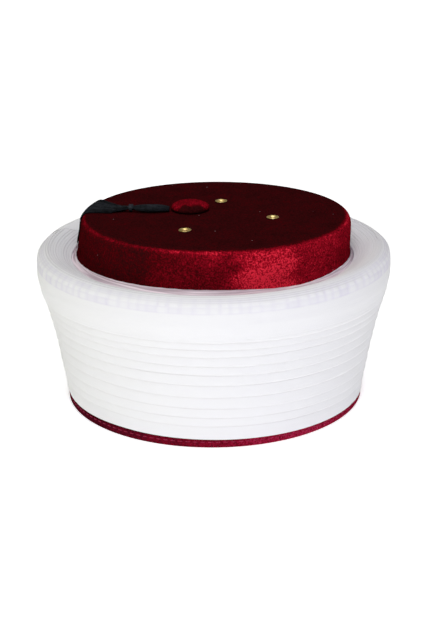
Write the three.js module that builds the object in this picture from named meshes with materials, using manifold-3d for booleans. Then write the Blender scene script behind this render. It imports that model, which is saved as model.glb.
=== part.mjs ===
// A turban of white cloth wound round a dark red velvet cap, with a tassel, a button and eyelets on its top.
// Millimetres, +Z up. The origin is the middle of the rim that it rests on, and its front looks along -Y.
import * as THREE from 'three';
import { mergeVertices } from 'three/addons/utils/BufferGeometryUtils.js';
import Module from 'manifold-3d';

// Driving dimensions

const HEAD_GIRTH = 570;
const GAP = 0.3;
const SIDES = 44;

const BINDING = { thickness: 1.0, height: 6.5 };

const CROWN = { wall: 2.4, height: 118.2, topRadius: 85, edgeRadius: 5, edgeSteps: 4 };

const COLLAR = { thickness: 1.0, bottom: 80, top: 95.4 };

// The cloth's turns, counted outwards. Each row is a turn where it passes the front: z is its lower edge, and
// r the outer radius there. The first row is the cap's own side, which the innermost turn lies on.
const FOLDS = [
  { turn: -1, z: 6.8, r: 94.1 },
  { turn: 0, z: 6.8, r: 95.6 },
  { turn: 1, z: 6.8, r: 97.1 },
  { turn: 2, z: 14.5, r: 98.2 },
  { turn: 3, z: 20.1, r: 99.2 },
  { turn: 4, z: 26.5, r: 100.3 },
  { turn: 5, z: 34.3, r: 101.6 },
  { turn: 6, z: 42.3, r: 103.0 },
  { turn: 7, z: 49.2, r: 104.5 },
  { turn: 8, z: 55.3, r: 105.9 },
  { turn: 9, z: 61.7, r: 107.4 },
  { turn: 10, z: 66.5, r: 108.8 },
  { turn: 11, z: 71.4, r: 110.2 },
  { turn: 12, z: 73.4, r: 111.7 },
  { turn: 13, z: 75.0, r: 113.0 },
];

const SEAT = FOLDS[0].turn;

const CLOTH = {
  firstTurn: -0.5,
  lastTurn: 12.3,
  turnGap: 0.2,
  lip: { r: 90, z: 92.4, bend: 1.4 },
  crest: { r: 104.5, z: 99.2 },
  brow: { r: 111.3, z: 96.5, bend: 2 },
  topRounding: 0.8,
  bandShoulder: 2.6,
  bandRidge: 0.15,
  bandBulge: 0.9,
  bandFadeIn: 0.1,
};

// The loose end of the cloth, folded up over the top of the turns and tucked into the groove beside the cap.
// It presses the tops of the turns down, and less so beside it, and its leading edge slants from the brow to
// the lip. The edges and the fade are given in degrees round the cap.
const TAIL = {
  thickness: 1.0,
  press: 1.3,
  pressFade: 8,
  tuckDepth: 9,
  edgeAtBrow: 166,
  edgeAtLip: 154,
  farEdge: 122,
  overSteps: 8,
  footDepth: 2.2,
};

const BUTTON = { x: -14.5, y: 6.0, radius: 12.2, height: 6, sides: 28 };

const EYELET = { bore: 2.0, barrel: 2.5, hole: 2.8, flange: 4.3, rise: 1.3, flare: 3.6, sides: 14 };
const EYELET_PLACES = [
  { x: 5.3, y: 25.8 },
  { x: 36.9, y: -14.4 },
  { x: -17.1, y: -41.0 },
];

// The tassel's bundle, from the button to the root of its skirt; lift is the middle's height over the velvet.
const BUNDLE = [
  { x: -27.6, y: 1.8, lift: 2.1, radius: 1.7 },
  { x: -32.5, y: 0.8, lift: 2.8, radius: 2.4 },
  { x: -40.0, y: 0.0, lift: 3.1, radius: 2.7 },
  { x: -46.5, y: 1.3, lift: 2.9, radius: 2.2 },
  { x: -50.4, y: 2.4, lift: 2.8, radius: 1.3 },
  { x: -53.8, y: 3.0, lift: 2.8, radius: 1.3 },
  { x: -57.0, y: 4.0, lift: 2.6, radius: 2.0 },
];
const BUNDLE_SIDES = 10;

// Each lock of the skirt leaves the waist at its own angle, and bends to where it goes over the edge.
const SKIRT = {
  locks: 9,
  spread: { front: 197, back: 130 },
  edgeAzimuth: { front: 180, back: 158 },
  bendAt: 12,
  hang: 13,
};
const LOCK_SECTIONS = [
  { at: 'root', width: 1.8, thickness: 2.6 },
  { at: 'bend', width: 2.6, thickness: 2.2 },
  { at: 'middle', width: 3.1, thickness: 1.5 },
  { at: 'edge', width: 3.3, thickness: 1.0 },
  { at: 'edge turn', width: 3.3, thickness: 0.9 },
  { at: 'edge turn', width: 3.3, thickness: 0.9 },
  { at: 'side', width: 3.2, thickness: 0.9 },
  { at: 'tip', width: 2.0, thickness: 0.8 },
];

const TIE = { halfLength: 1.6, thickness: 0.7, sides: 12 };

const FINISH = {
  velvet: { color: 0x5a0613, roughness: 0.9, metalness: 0 },
  binding: { color: 0x7d0724, roughness: 0.7, metalness: 0 },
  cloth: { color: 0xf0f0f4, roughness: 0.85, metalness: 0 },
  gauze: { color: 0xd8ccd2, roughness: 0.5, metalness: 0 },
  silk: { color: 0x14181f, roughness: 0.5, metalness: 0 },
  brass: { color: 0xbe9c46, roughness: 0.3, metalness: 1 },
};

const wasm = await Module();
wasm.setup();

// Shared shape tools

const radians = THREE.MathUtils.degToRad;
const mix = THREE.MathUtils.lerp;

// A solid of revolution about +Z from [radius, height] pairs that run up the outside. A corner faces -Y.
function revolve(profile, sides) {
  const geometry = new THREE.LatheGeometry(profile.map(([r, z]) => new THREE.Vector2(r, z)), sides);
  return geometry.rotateX(Math.PI / 2);
}

function closed(profile) {
  return [...profile, profile[0]];
}

// Points on an arc in the [radius, height] plane, from one angle to another, in degrees.
function arc(r, z, radius, from, to, steps) {
  return Array.from({ length: steps + 1 }, (_, i) => {
    const angle = radians(mix(from, to, i / steps));
    return [r + radius * Math.cos(angle), z + radius * Math.sin(angle)];
  });
}

// A closed solid through rings of equal length, capped by the triangles of the outline they all share.
function loft(rings, outline) {
  const size = rings[0].length;
  const last = (rings.length - 1) * size;
  const index = [];
  for (let i = 0; i + 1 < rings.length; i++) {
    for (let j = 0; j < size; j++) {
      const a = i * size + j;
      const b = i * size + ((j + 1) % size);
      index.push(a, b, a + size, b, b + size, a + size);
    }
  }
  for (const [a, b, c] of THREE.ShapeUtils.triangulateShape(outline, [])) {
    index.push(a, c, b, last + a, last + b, last + c);
  }
  const corners = rings.flat().flatMap((corner) => corner.toArray());
  const geometry = new THREE.BufferGeometry();
  geometry.setAttribute('position', new THREE.Float32BufferAttribute(corners, 3));
  return geometry.setIndex(index);
}

// Exact joins and cuts of closed geometries.
function toManifold(geometry) {
  const bare = geometry.clone();
  bare.deleteAttribute('normal');
  bare.deleteAttribute('uv');
  const merged = mergeVertices(bare, 1e-4);
  return new wasm.Manifold(new wasm.Mesh({
    numProp: 3,
    vertProperties: new Float32Array(merged.attributes.position.array),
    triVerts: new Uint32Array(merged.index.array),
  }));
}

function fromManifold(solid) {
  const mesh = solid.getMesh();
  const geometry = new THREE.BufferGeometry();
  geometry.setAttribute('position', new THREE.BufferAttribute(mesh.vertProperties, 3));
  return geometry.setIndex(new THREE.BufferAttribute(mesh.triVerts, 1));
}

function join(geometries) {
  return fromManifold(geometries.map(toManifold).reduce((whole, piece) => whole.add(piece)));
}

function offset(point, first, a, second, b) {
  return point.clone().addScaledVector(first, a).addScaledVector(second, b);
}

function polar(r, azimuth, z) {
  return new THREE.Vector3(r * Math.cos(azimuth), r * Math.sin(azimuth), z);
}

// The cap

const headRadius = HEAD_GIRTH / (2 * Math.PI);
const crownBottom = BINDING.thickness + GAP;
const crownBaseRadius = headRadius + BINDING.thickness + GAP + CROWN.wall;
const edgeCentre = { r: CROWN.topRadius - CROWN.edgeRadius, z: CROWN.height - CROWN.edgeRadius };

// Outer radius of the cap's tapered side.
function crownRadius(z) {
  return mix(crownBaseRadius, CROWN.topRadius, (z - crownBottom) / (edgeCentre.z - crownBottom));
}

function crown() {
  const { r, z } = edgeCentre;
  const inside = CROWN.edgeRadius - CROWN.wall;
  const shell = revolve([
    [0, CROWN.height - CROWN.wall],
    ...arc(r, z, inside, 90, 0, CROWN.edgeSteps / 2),
    [crownBaseRadius - CROWN.wall, crownBottom],
    [crownBaseRadius, crownBottom],
    ...arc(r, z, CROWN.edgeRadius, 0, 90, CROWN.edgeSteps),
    [0, CROWN.height],
  ], SIDES);
  const { hole, sides } = EYELET;
  const drill = new THREE.CylinderGeometry(hole, hole, 4 * CROWN.wall, sides).rotateX(Math.PI / 2);
  const pierced = EYELET_PLACES.reduce(
    (solid, { x, y }) => solid.subtract(toManifold(drill.clone().translate(x, y, CROWN.height))),
    toManifold(shell),
  );
  return fromManifold(pierced);
}

function hemBinding() {
  const { thickness, height } = BINDING;
  const outside = (z) => crownRadius(z) + GAP;
  const inside = (z) => crownRadius(z) - CROWN.wall - GAP;
  return revolve(closed([
    [headRadius, 0],
    [crownBaseRadius + GAP + thickness, 0],
    [outside(height) + thickness, height],
    [outside(height), height],
    [outside(thickness), thickness],
    [inside(thickness), thickness],
    [inside(height), height],
    [inside(height) - thickness, height],
  ]), SIDES);
}

function gauzeCollar() {
  const { thickness, bottom, top } = COLLAR;
  const inner = (z) => crownRadius(z) + GAP;
  return revolve(closed([
    [inner(bottom), bottom],
    [inner(bottom) + thickness, bottom],
    [inner(top) + thickness, top],
    [inner(top), top],
  ]), SIDES);
}

// The wound cloth

// Height and radius of a turn's lower edge, between the rows of the table.
function hemOf(turn) {
  const row = Math.floor(turn - SEAT);
  const [a, b] = [FOLDS[row], FOLDS[row + 1]];
  const share = turn - a.turn;
  return { z: mix(a.z, b.z, share), r: mix(a.r, b.r, share) };
}

// The winding rises clockwise seen from above, and a whole turn passes the front.
function azimuthOf(turn) {
  return THREE.MathUtils.euclideanModulo(-90 - 360 * turn, 360);
}

// How far the loose end presses the top of a turn down.
function pressOn(turn) {
  const { edgeAtBrow, farEdge, press, pressFade } = TAIL;
  const beside = Math.abs(azimuthOf(turn) - mix(edgeAtBrow, farEdge, 0.5)) - (edgeAtBrow - farEdge) / 2;
  return press * (1 - THREE.MathUtils.smoothstep(beside, 0, pressFade));
}

// Height of the cloth's top at a radius. It climbs from the inner lip to the crest and falls to the brow.
function topHeight(r) {
  const { lip, crest, brow } = CLOTH;
  const end = r < crest.r ? lip : brow;
  return mix(crest.z, end.z, ((r - crest.r) / (end.r - crest.r)) ** end.bend);
}

// Outer radius of a turn at its upper edge, and the height of its ridge, which lies half a turn further in.
function rimOf(turn) {
  const { lip, brow } = CLOTH;
  const pitch = (brow.r - lip.r) / (CLOTH.lastTurn - SEAT);
  const r = lip.r + pitch * (turn - SEAT);
  return { z: topHeight(r - pitch / 2) - pressOn(turn), r };
}

// Radius of a turn's outer face at a height. The next turn lies on this face.
function faceOf(turn, z) {
  const hem = hemOf(turn);
  const rim = rimOf(turn);
  return mix(hem.r, rim.r, (z - hem.z) / (rim.z - hem.z));
}

// A turn's cross-section as [radius, height], from the inside of its lower edge round its outer face.
function turnSection(turn) {
  const { z: low } = hemOf(turn);
  const { z: high } = rimOf(turn);
  const uncovered = THREE.MathUtils.smoothstep(turn - CLOTH.lastTurn + 1, 0, CLOTH.bandFadeIn);
  const shoulder = high - mix(CLOTH.topRounding, CLOTH.bandShoulder, uncovered);
  const middle = (low + shoulder) / 2;
  const innerHigh = high - CLOTH.topRounding;
  const inner = (z) => faceOf(Math.max(turn - 1, SEAT), z) + CLOTH.turnGap;
  const ridge = mix(0.5, CLOTH.bandRidge, uncovered);
  return [
    [inner(low), low],
    [faceOf(turn, low), low],
    [faceOf(turn, middle) + CLOTH.bandBulge * uncovered, middle],
    [faceOf(turn, shoulder), shoulder],
    [mix(inner(high), faceOf(turn, high), ridge), high],
    [inner(innerHigh), innerHigh],
  ];
}

function winding() {
  const steps = Math.round((CLOTH.lastTurn - CLOTH.firstTurn) * SIDES);
  const rings = Array.from({ length: steps + 1 }, (_, i) => {
    const turn = CLOTH.firstTurn + i / SIDES;
    return turnSection(turn).map(([r, z]) => polar(r, radians(azimuthOf(turn)), z));
  });
  const outline = turnSection(CLOTH.firstTurn).map(([r, z]) => new THREE.Vector2(r, z));
  return loft(rings, outline);
}

// The tail's section runs from the foot of the band, over the top of the turns, to the bottom of its tuck.
function tailSection() {
  const { thickness, press, tuckDepth, overSteps, footDepth } = TAIL;
  const { lip, brow, turnGap } = CLOTH;
  const under = GAP - press;
  const outside = brow.r + CLOTH.bandBulge;
  const foot = hemOf(CLOTH.lastTurn).z;
  const tuckLow = lip.z - tuckDepth;
  const seat = (z) => faceOf(SEAT, z) + turnGap - GAP;
  const over = Array.from({ length: overSteps }, (_, i) => {
    const r = mix(brow.r, lip.r, i / overSteps);
    return [r, topHeight(r) + under];
  });
  return [
    [outside, foot],
    [outside, brow.z + under - CLOTH.topRounding],
    ...over.map(([r, z]) => [r, z + thickness]),
    [seat(lip.z) - thickness, lip.z + under + thickness],
    [seat(tuckLow) - thickness, tuckLow],
    [seat(tuckLow), tuckLow],
    [seat(lip.z), lip.z + under],
    ...over.reverse(),
    [brow.r - footDepth, brow.z + under - CLOTH.bandShoulder],
    [outside - footDepth, foot],
  ];
}

function tail() {
  const { edgeAtBrow, edgeAtLip, farEdge } = TAIL;
  const { lip, brow } = CLOTH;
  const steps = Math.round(((edgeAtBrow - farEdge) / 360) * SIDES);
  const section = tailSection();
  const rings = Array.from({ length: steps + 1 }, (_, i) => section.map(([r, z]) => {
    const edge = mix(edgeAtLip, edgeAtBrow, THREE.MathUtils.clamp((r - lip.r) / (brow.r - lip.r), 0, 1));
    return polar(r, radians(mix(edge, farEdge, i / steps)), z);
  }));
  return loft(rings, section.map(([r, z]) => new THREE.Vector2(r, z)));
}

function woundCloth() {
  return join([winding(), tail()]);
}

// The top's fittings

function crownButton() {
  const { radius, height, sides } = BUTTON;
  const edge = height / 4;
  const dome = arc(0, 0, 1, 0, 90, 5).slice(1, -1);
  return revolve([
    [0, 0],
    [radius - edge / 2, 0],
    [radius, edge / 2],
    [radius, edge],
    ...dome.map(([across, up]) => [radius * across, mix(edge, height, up)]),
    [0, height],
  ], sides);
}

function eyelet() {
  const { bore, barrel, flange, rise, flare } = EYELET;
  const under = -CROWN.wall - GAP;
  const rim = (rise - GAP) / 2;
  return revolve(closed([
    [bore, under - rim],
    [flare, under - rim],
    [flare, under],
    [barrel, under],
    [barrel, GAP],
    [flange, GAP],
    [mix(flange, bore, 0.1), GAP + rim],
    [mix(flange, bore, 0.5), rise],
    [mix(flange, bore, 0.9), GAP + rim],
  ]), EYELET.sides);
}

// The tassel

function bundlePath() {
  return BUNDLE.map(({ x, y, lift }) => new THREE.Vector3(x, y, CROWN.height + lift));
}

function bundle() {
  const path = bundlePath();
  const circle = Array.from({ length: BUNDLE_SIDES }, (_, j) => {
    const angle = (2 * Math.PI * j) / BUNDLE_SIDES;
    return new THREE.Vector2(Math.cos(angle), Math.sin(angle));
  });
  const rings = path.map((centre, i) => {
    const along = path[Math.min(i + 1, path.length - 1)].clone().sub(path[Math.max(i - 1, 0)]).normalize();
    const across = new THREE.Vector3(0, 0, 1).cross(along).normalize();
    const up = along.clone().cross(across);
    const { radius } = BUNDLE[i];
    return circle.map((c) => offset(centre, across, radius * c.x, up, radius * c.y));
  });
  return loft(rings, circle);
}

// The places that a lock passes, each with the direction that faces away from the cap.
function lockStations(share) {
  const waist = BUNDLE[BUNDLE.length - 2];
  const leaves = radians(mix(SKIRT.spread.front, SKIRT.spread.back, share));
  const azimuth = radians(mix(SKIRT.edgeAzimuth.front, SKIRT.edgeAzimuth.back, share));
  const up = new THREE.Vector3(0, 0, 1);
  const tilted = (angle) => polar(Math.cos(angle), azimuth, Math.sin(angle));
  const thicknessAt = (i) => LOCK_SECTIONS[i].thickness / 2 + GAP;
  const overEdge = (i, angle) => {
    const reach = CROWN.edgeRadius + thicknessAt(i);
    return polar(edgeCentre.r + reach * Math.cos(angle), azimuth, edgeCentre.z + reach * Math.sin(angle));
  };
  const root = new THREE.Vector3(waist.x, waist.y, CROWN.height + waist.lift);
  const bend = new THREE.Vector3(
    waist.x + SKIRT.bendAt * Math.cos(leaves),
    waist.y + SKIRT.bendAt * Math.sin(leaves),
    CROWN.height + thicknessAt(1),
  );
  const edge = overEdge(3, radians(90));
  const middle = bend.clone().lerp(edge, 0.5).setZ(CROWN.height + thicknessAt(2));
  const tipHeight = edgeCentre.z - SKIRT.hang;
  return [
    { place: root, away: up },
    { place: bend, away: up },
    { place: middle, away: up },
    { place: edge, away: up },
    { place: overEdge(4, radians(60)), away: tilted(radians(60)) },
    { place: overEdge(5, radians(30)), away: tilted(radians(30)) },
    { place: overEdge(6, 0), away: tilted(0) },
    { place: polar(crownRadius(tipHeight) + thicknessAt(7), azimuth, tipHeight), away: tilted(0) },
  ];
}

function lock(share) {
  const stations = lockStations(share);
  const outline = [[-0.5, -0.2], [0, -0.5], [0.5, -0.2], [0.5, 0.2], [0, 0.5], [-0.5, 0.2]];
  const rings = stations.map(({ place, away }, i) => {
    const before = stations[Math.max(i - 1, 0)].place;
    const after = stations[Math.min(i + 1, stations.length - 1)].place;
    const across = away.clone().cross(after.clone().sub(before)).normalize();
    const { width, thickness } = LOCK_SECTIONS[i];
    return outline.map(([a, b]) => offset(place, across, a * width, away, b * thickness));
  });
  return loft(rings, outline.map(([a, b]) => new THREE.Vector2(a, b)));
}

function tassel() {
  const locks = Array.from({ length: SKIRT.locks }, (_, i) => lock(i / (SKIRT.locks - 1)));
  return join([bundle(), ...locks]);
}

function tasselBinding() {
  const inner = BUNDLE[BUNDLE.length - 2].radius + GAP;
  const outer = inner + TIE.thickness;
  const corner = TIE.thickness / 2;
  return revolve(closed([
    [inner, -TIE.halfLength],
    [outer - corner, -TIE.halfLength],
    [outer, corner - TIE.halfLength],
    [outer, TIE.halfLength - corner],
    [outer - corner, TIE.halfLength],
    [inner, TIE.halfLength],
  ]), TIE.sides);
}

// The assembly

const turban = new THREE.Group();

function place(name, geometry, finish) {
  const mesh = new THREE.Mesh(geometry, new THREE.MeshStandardMaterial(FINISH[finish]));
  mesh.name = name;
  turban.add(mesh);
  return mesh;
}

place('crown', crown(), 'velvet');
place('hem_binding', hemBinding(), 'binding');
place('gauze_collar', gauzeCollar(), 'gauze');
place('wound_cloth', woundCloth(), 'cloth');
place('crown_button', crownButton(), 'velvet').position.set(BUTTON.x, BUTTON.y, CROWN.height + GAP);
place('tassel', tassel(), 'silk');

const [waistStart, waistEnd] = bundlePath().slice(-3, -1);
const tie = place('tassel_binding', tasselBinding(), 'silk');
tie.position.lerpVectors(waistStart, waistEnd, 0.5);
tie.quaternion.setFromUnitVectors(new THREE.Vector3(0, 0, 1), waistEnd.clone().sub(waistStart).normalize());

EYELET_PLACES.forEach(({ x, y }, i) => {
  place(`eyelet_${i + 1}`, eyelet(), 'brass').position.set(x, y, CROWN.height);
});

export default turban;
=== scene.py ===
"""Dresses the turban: white cloth wound round a dark red velvet cap, with its button, tassel and eyelets.

Sizes are in millimetres, and those of the solids repeat the part's own. Azimuths are in degrees: 0 is right,
90 is the back and 270 the front. The winding is counted in turns, from the cap outwards.
"""
import math
from types import SimpleNamespace as Sizes

import bmesh
import bpy
import numpy as np
from mathutils import Matrix, Vector


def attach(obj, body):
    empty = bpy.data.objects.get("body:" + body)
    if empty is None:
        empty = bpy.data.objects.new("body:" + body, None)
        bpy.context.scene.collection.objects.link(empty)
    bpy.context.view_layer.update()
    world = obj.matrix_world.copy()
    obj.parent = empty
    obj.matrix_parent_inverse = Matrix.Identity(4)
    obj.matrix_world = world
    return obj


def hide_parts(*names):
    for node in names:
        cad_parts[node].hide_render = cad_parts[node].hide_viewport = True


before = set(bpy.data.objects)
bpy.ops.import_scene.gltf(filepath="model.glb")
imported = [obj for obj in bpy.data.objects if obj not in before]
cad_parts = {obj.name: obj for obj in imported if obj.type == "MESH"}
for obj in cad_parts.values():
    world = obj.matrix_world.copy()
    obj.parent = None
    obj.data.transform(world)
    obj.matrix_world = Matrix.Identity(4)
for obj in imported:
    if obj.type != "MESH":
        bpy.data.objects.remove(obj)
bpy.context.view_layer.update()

MM = 0.001
GAP = 0.3
SIDES = 180

# The binding is painted darker towards its upper edge, as the cloth's shadow: by a share, between two depths
# under the edge.
BINDING = Sizes(thickness=1.0, height=6.5, face_from=1.5, sides=240, shade=0.8, shade_from=1.6, shade_to=0.7)
STITCH = Sizes(
    count=132, share=0.66, height=3.4, radius=0.32, points=7, sides=6,
    proud=0.12, sink=0.35, taper=0.5, wander=0.15,
)
CROWN = Sizes(wall=2.4, height=118.2, top_radius=85.0, edge_radius=5.0)
HEAD_RADIUS = 570 / (2 * math.pi)
CROWN_BOTTOM = BINDING.thickness + GAP
CROWN_BASE = HEAD_RADIUS + BINDING.thickness + GAP + CROWN.wall
EDGE = Sizes(r=CROWN.top_radius - CROWN.edge_radius, z=CROWN.height - CROWN.edge_radius)
# The cap's top has settled: it has slipped to the right, and sunk at the back.
SETTLED = Sizes(
    slip=1.7, back_right=0.6, right_at=55, back_left=0.1, left_at=130,
    start_r=45, end_r=80, start_z=95, end_z=113,
)
# The collar's edge is higher at the front, lower at the sides, and dips to the right of the front. Beside
# the cloth's loose end the collar stays on the cap's wall.
COLLAR = Sizes(
    gauze=0.4, bottom=80.0, top=95.4, front_rise=0.7, side_drop=1.2, dip=2.0, dip_at=305, dip_spread=20,
    rows=13, waves=((0.06, 61, 0), (0.05, 23, 1)), lean_from=0.8, upright_within=24, upright_fade=10,
)

# Painted sheen and shade of the pile, in part also its lie: tables of degrees from the front, plus towards
# the right, and how brightly the pile shows.
CAP_SIDE_SHEEN = np.array([
    (-180, 0.34), (-120, 0.32), (-54, 0.27), (-29, 0.26), (-23, 0.39), (5, 0.45), (10, 0.76), (20, 0.98),
    (30, 0.93), (35, 0.62), (57, 0.63), (60, 0.56), (85, 0.56), (100, 0.4), (125, 0.4), (131, 0.6),
    (150, 0.62), (156, 0.38), (180, 0.34),
])
CAP_EDGE_HIGHLIGHT = np.array([
    (-130, 0.06), (-110, 0.24), (-70, 0.28), (-50, 0.32), (-42, 0.2), (-20, 0.34), (0, 0.34), (10, 0.05),
    (55, 0.05), (75, 0.2), (110, 0.2), (140, 0.05),
])
BINDING_SHEEN = np.array([
    (-180, 0.4), (-90, 0.22), (-45, 0.26), (0, 0.5), (30, 0.72), (60, 0.62), (120, 0.4), (180, 0.4),
])
# Where the cap's rounded edge starts to darken into the painted shade of the top, and where it is as dark as
# the top: degrees from the front, and degrees up the edge.
TOP_SHADE_STARTS = np.array([(-25, 55), (-12, 50), (5, 42), (12, 26), (30, 26), (38, 42), (60, 42), (80, 55)])
TOP_SHADE_ENDS = np.array([(-25, 72), (-12, 82), (60, 82), (80, 89)])
# The painted highlight, the painted lit spot and the painted bright edge are given by middle and width; top
# is the top's painted shade.
PILE = Sizes(
    top=0.2, ragged=((1.5, 0.33, 0), (1.2, 0.9, 1)), highlight=(22, 16), fade=0.2, fade_z=(105, 112),
    spot_at=(-2, 5), spot=0.15, spot_z=(106, 112), edge=(50, 14), patchy=0.25,
)

# Each triple is a turn at the front: its number, and its lower edge's height and radius.
FOLDS = np.array([
    (-1, 6.6, 94.1), (0, 6.6, 95.6), (1, 6.6, 97.1), (2, 14.5, 98.2), (3, 20.1, 99.2),
    (4, 26.5, 100.3), (5, 34.3, 101.6), (6, 42.3, 103.0), (7, 49.2, 104.5), (8, 55.3, 105.9),
    (9, 61.7, 107.4), (10, 66.5, 108.8), (11, 71.4, 110.2), (12, 73.4, 111.7), (13, 75.0, 113.0),
])
SEAT = FOLDS[0, 0]
# The outermost turn is the band, and has more points round.
CLOTH = Sizes(
    first_turn=-0.5, last_turn=12.3, points=96, band_points=760, gap=0.02, top_corner=0.35,
    lip_r=90.0, lip_z=92.4, lip_bend=1.4, crest_r=104.5, crest_z=99.2, brow_r=111.3, brow_z=96.5,
    brow_bend=2.0, top_rounding=0.2, top_crown=0.08, hem_rounding=0.5, hem_taper=0.55, step_bulge=0.08,
    least_step=1.0, band_bulge=1.0, band_fade=0.1, band_taper=1.3, band_taper_height=11.0, under_shade=0.52,
)
# Waves of the lower edges and of the tops along the winding, and of the whole form: height, rate and phase.
HEM_WAVES = ((0.15, 17.0, 1.3), (0.1, 39.6, 0))
HEM_WAVES_FROM = (1.0, 2.0)
RIM_WAVES = ((0.07, 2.32, 0), (0.05, 10.9, 1.0))
SWAY_WAVES = ((0.25, 3, 1.1), (0.2, 5, 2.3))
SWAY_Z = (10, 60)
# The rows of a turn's underside, as shares of the way out and of the hem's rounding, and of its lower face.
UNDERSIDE = ((0.1, 0.3), (0.5, 0), (0.9, 0.3))
FACE_ROWS = (0, 0.06, 0.14, 0.25, 0.38, 0.5, 0.6, 0.7, 0.8, 0.9)
# The lowest turns hang over the binding, further on the right. They start and stop between two turns, and
# are clear of the binding sooner than they hang.
OVERHANG = Sizes(drop=1.2, right=1.0, thickness=0.35, starts=(0, 0.2), stops=(1.05, 1.45), sooner=3, fade=1.6)
# The band goes on over the shoulder as a hood and ends on the tops of the turns inside it.
HOOD = Sizes(start_z=91.5, end_angle=70, thickness=1.1, end_thickness=0.2, fade=0.8)
HOOD_RISE = CLOTH.crest_z - HOOD.start_z
# The band's woven border: a stripe of soft cells, a row of short raised dashes, and a faint stripe.
BORDER = Sizes(
    dashes=105, stripe=(90.3, 94.1), row=(94.5, 96.4), upper=(96.6, 98.6), blur=0.5,
    rails=((90.3, 0.45), (94.3, 0.4)), rung=(0.08, 0.3), wander=((0.25, 13, 0),), relief=0.12,
    fine_from=89.0, faded_within=(15, 50), faded=0.7,
)
# The painted shade in the lines between the plies of cloth on the ring, and where they lie over a turn's top;
# tone is a random tone for each turn.
PLY_SHADE = Sizes(
    outer=(0.72, 0.92), inner=(0.12, 0.36), middle=(0.46, 0.56, 0.66), corner=0.8, inside=0.5, tone=0.2,
    uneven=0.38, right=0.5, right_from=(-0.2, 0.6), hood=0.75, hood_from=(0.42, 0.58),
    hood_lines=13.3, ragged=0.4,
)
# A short crease in the band, on the left: azimuths and heights of its ends.
CREASE = Sizes(start=198, end=220, start_z=82.3, end_z=86.7, width=0.7, depth=0.4)
# The crest sags at the front and rises on the right.
LEAN = Sizes(front=-0.9, right=0.4, start_z=85.0, end_z=97.0)
# The groove beside the cap is wider to the right of the front, and nearly closed on the right.
GROOVE = Sizes(extra=4.0, towards=-62, spread=32, closed_right=1.6, right_from=(0.3, 0.9), bottom=80.0)
TAIL = Sizes(
    thickness=1.0, edge=0.1, press=0.7, press_fade=4, clear=0.03, tuck=9.0, lip_fade=2,
    edge_at_brow=166, edge_at_lip=154, far_edge=122,
)

# The foot is in steps inside the rim. Up to a wavy, slanting line the front is in painted shade, as dark as
# the cap's top.
BUTTON = Sizes(
    x=-14.5, y=6.0, radius=12.2, height=6.0, sides=132, foot=((1.4, 0), (0.5, 0.35), (0.1, 0.9)),
    pleats=22, pucker=0.014, pucker_from=(0.55, 0.97), flat=(-0.8, -0.52), flat_nap=0.17, slant=0.008,
    line=((0.06, 0.7, 1),),
)
# How brightly the button shows at heights: painted shade at the foot and a painted highlight up the dome.
BUTTON_SHEEN_AND_SHADE = np.array([(0, 0.15), (0.9, 0.18), (1.6, 0.36), (3.5, 0.56), (BUTTON.height, 0.5)])
EYELET = Sizes(bore=2.0, barrel=2.5, hole=2.8, flange=3.9, rise=0.8, roll=0.3, flare=3.6, flare_wall=0.5)
EYELET_PLACES = [(5.3, 25.8), (36.9, -14.4), (-17.1, -41.0)]

# The tassel's bundle: x, y, the middle's height over the velvet, radius.
BUNDLE = np.array([
    (-27.6, 1.8, 2.1, 1.7),
    (-32.5, 0.8, 2.8, 2.4),
    (-40.0, 0.0, 3.1, 2.7),
    (-46.5, 1.3, 2.9, 2.2),
    (-50.4, 2.4, 2.8, 1.3),
    (-53.8, 3.0, 2.8, 1.3),
    (-57.0, 4.0, 2.6, 2.0),
])
# The skirt is so thick at the bend, halfway to the cap's edge, at the edge, round it and at the tips.
SKIRT = Sizes(
    spread=(197, 130), edge_azimuth=(180, 158), bend_at=12.0, hang=13.0, ragged=2.0,
    bend=2.2, middle=1.5, edge=1.0, corner=0.9, tips=0.8,
)
STRANDS = Sizes(count=420, radius=0.2, sides=4, fill=0.88, stray=0.012, past=0.03, streaks=34, streaky=0.6)
TIE = Sizes(half_length=1.6, thickness=0.7, points=140, sides=8, shade=0.7)

# The studio, in metres. A lamp has a name, place, power and colour.
LAMPS = [
    ("key", (0, -1.77, 1.82), 35.0, (0.905, 0.9, 1.0)),
    ("top", (0, 0, 2.5), 21.5, (0.985, 0.98, 0.92)),
    ("fill", (-1.8, -1.2, 1.2), 3.2, (0.95, 1.0, 0.0)),
]
LAMP_SIZE = 1.6
LAMP_AIM = (0, 0, 0.06)
WORLD_STRENGTH = 0.048
FLOOR_HALF = 30.0

scene = bpy.context.scene
chance = np.random.default_rng(12)


# Shape tools


def mix(a, b, share):
    """Goes from a to b while share goes from 0 to 1."""
    return a + (b - a) * share


def smooth(low, high, value):
    """Eases from 0 at low to 1 at high."""
    t = np.clip((value - low) / (high - low), 0, 1)
    return t * t * (3 - 2 * t)


def bell(value, middle, width):
    """A rise to 1 round a middle value."""
    return np.exp(-((value - middle) / width) ** 2)


def waves(value, rows):
    """The sum of sine waves, each a row of height, rate and phase."""
    return sum(height * np.sin(rate * value + phase) for height, rate, phase in rows)


def look_up(table, value):
    """Reads a table whose rows are a place and a number."""
    return np.interp(value, table[:, 0], table[:, 1])


def aside(angle, azimuth):
    """How far azimuths lie from another one, from -180 to 180."""
    return (angle - azimuth + 180) % 360 - 180


def polar(r, angle, z):
    """Points from radii, angles in radians and heights."""
    return np.stack(np.broadcast_arrays(r * np.cos(angle), r * np.sin(angle), z), -1)


def quads(rows, columns, wrap_rows=False, wrap_columns=False):
    """Faces of a grid of points that is counted row by row."""
    faces = []
    for i in range(rows if wrap_rows else rows - 1):
        for j in range(columns if wrap_columns else columns - 1):
            beside = (j + 1) % columns
            above = (i + 1) % rows * columns
            faces.append((i * columns + j, i * columns + beside, above + beside, above + j))
    return faces


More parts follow.
